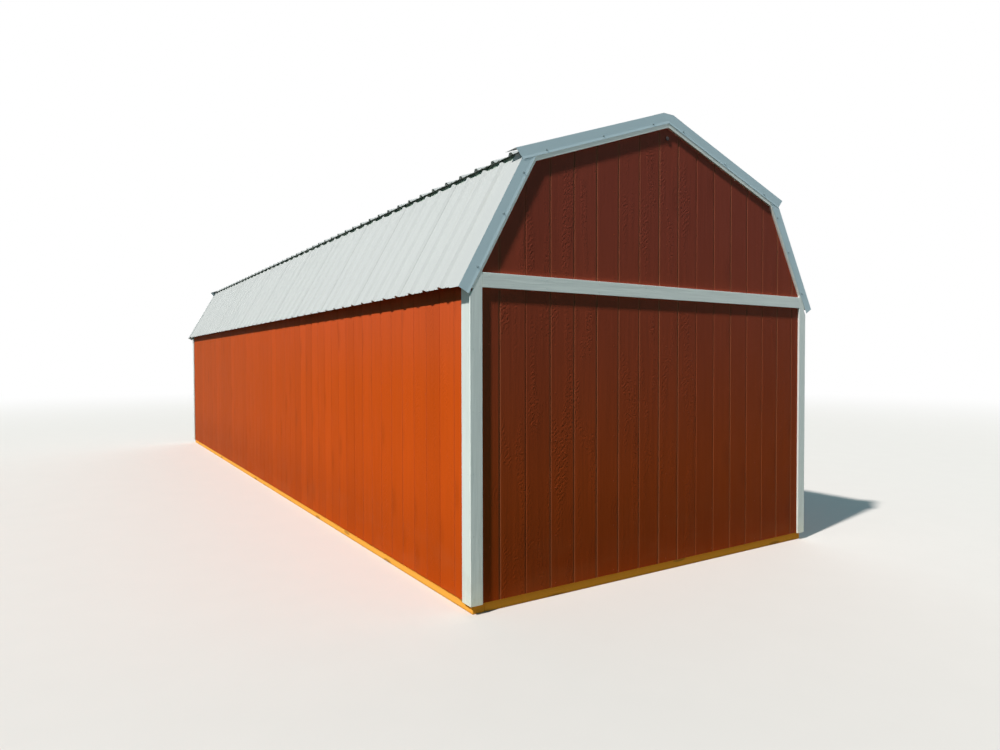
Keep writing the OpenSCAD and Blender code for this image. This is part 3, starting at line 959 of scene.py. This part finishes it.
class BARN_OT_roof_metal(Operator):
    """Paints the roof sheets, the ridge cap and the rake metal"""

    bl_idname = "barn.roof_metal"
    bl_label = "Paint the roof metal"

    def execute(self, context):
        s = sizes()
        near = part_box("right_lower_roof_sheet")[0].y
        pale = colours().roof_pale
        dress(("left_lower_roof_sheet", "right_lower_roof_sheet"),
              roof_paint("Lower roof paint", pale, near + s.lower_rib - s.lap_side))
        dress(("left_upper_roof_sheet", "right_upper_roof_sheet"),
              roof_paint("Upper roof paint", pale, near + s.upper_rib - s.lap_side))
        dress(("ridge_cap",), roof_paint("Ridge cap paint", pale))
        dress(("left_lower_rake_trims", "right_lower_rake_trims", "left_upper_rake_trims",
               "right_upper_rake_trims"), roof_paint("Rake paint", pale, face=colours().rake_face_sky_reflection))
        return {"FINISHED"}


class BARN_OT_roof_screws(Operator):
    """Screws the roof sheets down beside their ribs, and the ridge cap to the ribs"""

    bl_idname = "barn.roof_screws"
    bl_label = "Screw the roof down"

    def execute(self, context):
        s = sizes()
        shape = roofing_screw()
        made = [small_part_finish("Screw head", toned(colours().roof_pale, 0.92), 0.35),
                small_part_finish("Screw washer", colours().washer_dark, 0.6)]
        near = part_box("right_lower_roof_sheet")[0].y
        rake_gap, cap_row = 0.15, 0.125
        limit = -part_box("right_lower_rake_trims")[0].y - rake_gap
        # The first rib, and how far down the slope each row of screws lies.
        rows = {"lower": (s.lower_rib, (0.16, 0.58, 1.0)), "upper": (s.upper_rib, (0.42, 0.87, 1.32))}
        for part, (first, alongs) in rows.items():
            spots = []
            for i in range(int((-2 * near - first) / s.rib_pitch) + 1):
                y = near + first + i * s.rib_pitch + s.rib_side
                if abs(y) < limit:
                    spots += [on_slope(side, part, along, s.pan_level, y)
                              for side in (-1, 1) for along in alongs]
            scattered(f"{part}_roof_screws", shape, spots, made)
        spots = []
        for i in range(0, int((-2 * near - s.upper_rib) / s.rib_pitch) + 1, 2):
            y = near + s.upper_rib + i * s.rib_pitch
            spots += [on_slope(side, "upper", cap_row, s.cap_level, y) for side in (-1, 1)]
        scattered("ridge_cap_screws", shape, spots, made)
        return {"FINISHED"}


class BARN_OT_rake_screws(Operator):
    """Screws the rake metal to the gables"""

    bl_idname = "barn.rake_screws"
    bl_label = "Screw the rakes on"

    def execute(self, context):
        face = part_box("ridge_cap")[0].y
        # The rake screw heads take the bluer colour of the rakes' faces, a painted sky reflection.
        made = [small_part_finish("Rake screw head", toned(colours().rake_face_sky_reflection, 0.8), 0.35),
                small_part_finish("Rake screw washer", colours().washer_dark, 0.6)]
        # How far down the slope the screws lie, and how far off the rafter line.
        rows = {"lower": ((0.171, 0.493, 0.895), -0.025), "upper": ((0.18, 0.69, 1.216), -0.028)}
        spots = []
        for end in (-1, 1):
            for side in (-1, 1):
                for part, (alongs, off) in rows.items():
                    for along in alongs:
                        point, _ = on_slope(side, part, along, off, -end * face)
                        spots.append((point, (0, end, 0)))
        scattered("rake_screws", roofing_screw(), spots, made)
        return {"FINISHED"}


class BARN_OT_gable_plug(Operator):
    """Rounds the small plug under the peak"""

    bl_idname = "barn.gable_plug"
    bl_label = "Make the gable plug"

    def execute(self, context):
        made = small_part_finish("Gable plug", colours().plug_dark, 0.7)
        eased_copy("gable_plug", "gable_round_plug", sizes().plug_ease, [made])
        return {"FINISHED"}


class BARN_OT_stage(Operator):
    """Sets up the floor, the lights and the camera"""

    bl_idname = "barn.stage"
    bl_label = "Set the stage"

    def execute(self, context):
        context.scene.view_settings.view_transform = "Standard"
        light = context.scene.barn_light
        self.floor(context, light)
        self.world(context, light)
        self.key_light(context, light)
        self.camera(context, light)
        return {"FINISHED"}

    def floor(self, context, light):
        """A round pale floor that fades to white far off, and throws warm light close to the barn's foot."""
        mesh = bpy.data.meshes.new("studio_floor")
        body = bmesh.new()
        bmesh.ops.create_circle(body, cap_ends=True, segments=96, radius=120)
        body.to_mesh(mesh)
        body.free()
        made = bpy.data.materials.new("Studio floor")
        made.use_nodes = True
        recipe = Recipe(made.node_tree)
        x, y, _ = recipe.place()
        shown = recipe.shown()
        pale = recipe.shade(light.floor_pale, 0.985 + recipe.noise(x * 3, y * 3, 0.0, 4) * 0.03)
        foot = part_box("near_corner_boards")
        gap = recipe.maths("MAXIMUM", abs(x) - foot[1].x, abs(y) + foot[0].y)
        thrown = recipe.blend(recipe.ease(gap, 0.25, 0.06), light.floor_dull, light.floor_warm)
        lit = recipe.node("ShaderNodeBsdfPrincipled", None,
                          {"Base Color": recipe.blend(shown, thrown, pale), "Specular IOR Level": 0.0})
        white = recipe.node("ShaderNodeEmission", None, {"Color": (1, 1, 1, 1), "Strength": 1.0})
        away = recipe.ease(recipe.maths("SQRT", x * x + y * y), 9.0, 30.0)
        mixed = recipe.node("ShaderNodeMixShader", None, {0: away * shown, 1: lit, 2: white})
        recipe.node("ShaderNodeOutputMaterial", None, {"Surface": mixed})
        mesh.materials.append(made)
        floor = bpy.data.objects.new("studio_floor", mesh)
        context.scene.collection.objects.link(floor)

    def world(self, context, light):
        """A faint fill all round and a stronger one from behind the barn, before a white background."""
        world = bpy.data.worlds.new("Studio")
        context.scene.world = world
        world.use_nodes = True
        recipe = Recipe(world.node_tree)
        facing = recipe.node("ShaderNodeTexCoord", None, None, "Generated")
        toward = Vector((1.0, 1.0, 0.3)).normalized()
        side = recipe.node("ShaderNodeVectorMath", {"operation": "DOT_PRODUCT"}, {0: facing, 1: toward},
                           "Value")
        lift = recipe.ease(side, 0.55, 0.97)
        strength = light.sky_front + lift * (light.sky_back - light.sky_front)
        tint = recipe.blend(lift, light.front_tint, light.back_tint)
        soft = recipe.node("ShaderNodeBackground", None, {"Color": tint, "Strength": strength})
        white = recipe.node("ShaderNodeBackground", None, {"Color": (1, 1, 1, 1), "Strength": 1.0})
        mixed = recipe.node("ShaderNodeMixShader", None, {0: recipe.shown(), 1: soft, 2: white})
        recipe.node("ShaderNodeOutputWorld", None, {"Surface": mixed})

    def key_light(self, context, light):
        lamp = bpy.data.lights.new("Key light", "SUN")
        lamp.energy = light.sun_strength
        lamp.angle = light.sun_width
        lamp.color = light.sun_tint
        holder = bpy.data.objects.new("Key light", lamp)
        holder.rotation_mode = "QUATERNION"
        holder.rotation_quaternion = Vector(light.sun_aim).to_track_quat("-Z", "Y")
        holder.location = (-12, -4, 12)
        context.scene.collection.objects.link(holder)

    def camera(self, context, light):
        yaw, pitch, roll = light.view_turn
        ahead = Vector((math.sin(yaw) * math.cos(pitch), math.cos(yaw) * math.cos(pitch), math.sin(pitch)))
        level = Vector((math.cos(yaw), -math.sin(yaw), 0))
        up = level.cross(ahead)
        right = math.cos(roll) * level + math.sin(roll) * up
        top = -math.sin(roll) * level + math.cos(roll) * up
        data = bpy.data.cameras.new("Camera")
        data.lens = light.lens
        data.sensor_width = 36
        data.clip_start, data.clip_end = 0.1, 500
        camera = bpy.data.objects.new("Camera", data)
        turn = Matrix((right, top, -ahead)).transposed().to_4x4()
        camera.matrix_world = Matrix.Translation(light.view_spot) @ turn
        context.scene.collection.objects.link(camera)
        context.scene.camera = camera


STEPS = (BARN_OT_siding, BARN_OT_siding_nails, BARN_OT_trim_boards, BARN_OT_trim_nails, BARN_OT_timbers,
         BARN_OT_framing, BARN_OT_roof_metal, BARN_OT_roof_screws, BARN_OT_rake_screws, BARN_OT_gable_plug,
         BARN_OT_stage)


class BARN_PT_steps(Panel):
    """Lists the steps that dress the barn"""

    bl_idname = "BARN_PT_steps"
    bl_label = "Gambrel Barn"
    bl_space_type = "VIEW_3D"
    bl_region_type = "UI"
    bl_category = "Barn"

    def draw(self, context):
        for step in STEPS:
            self.layout.operator(step.bl_idname)


GROUPS = (("barn_sizes", BarnSizes), ("barn_colours", BarnColours), ("barn_light", BarnLight))


def register():
    for name, group in GROUPS:
        bpy.utils.register_class(group)
        setattr(bpy.types.Scene, name, PointerProperty(type=group))
    for step in STEPS:
        bpy.utils.register_class(step)
    bpy.utils.register_class(BARN_PT_steps)


def unregister():
    bpy.utils.unregister_class(BARN_PT_steps)
    for step in reversed(STEPS):
        bpy.utils.unregister_class(step)
    for name, group in reversed(GROUPS):
        delattr(bpy.types.Scene, name)
        bpy.utils.unregister_class(group)


def main():
    """Dresses the barn."""
    register()
    bpy.ops.barn.siding()
    bpy.ops.barn.siding_nails()
    bpy.ops.barn.trim_boards()
    bpy.ops.barn.trim_nails()
    bpy.ops.barn.timbers()
    bpy.ops.barn.framing()
    bpy.ops.barn.roof_metal()
    bpy.ops.barn.roof_screws()
    bpy.ops.barn.rake_screws()
    bpy.ops.barn.gable_plug()
    bpy.ops.barn.stage()


if __name__ == "__main__":
    main()
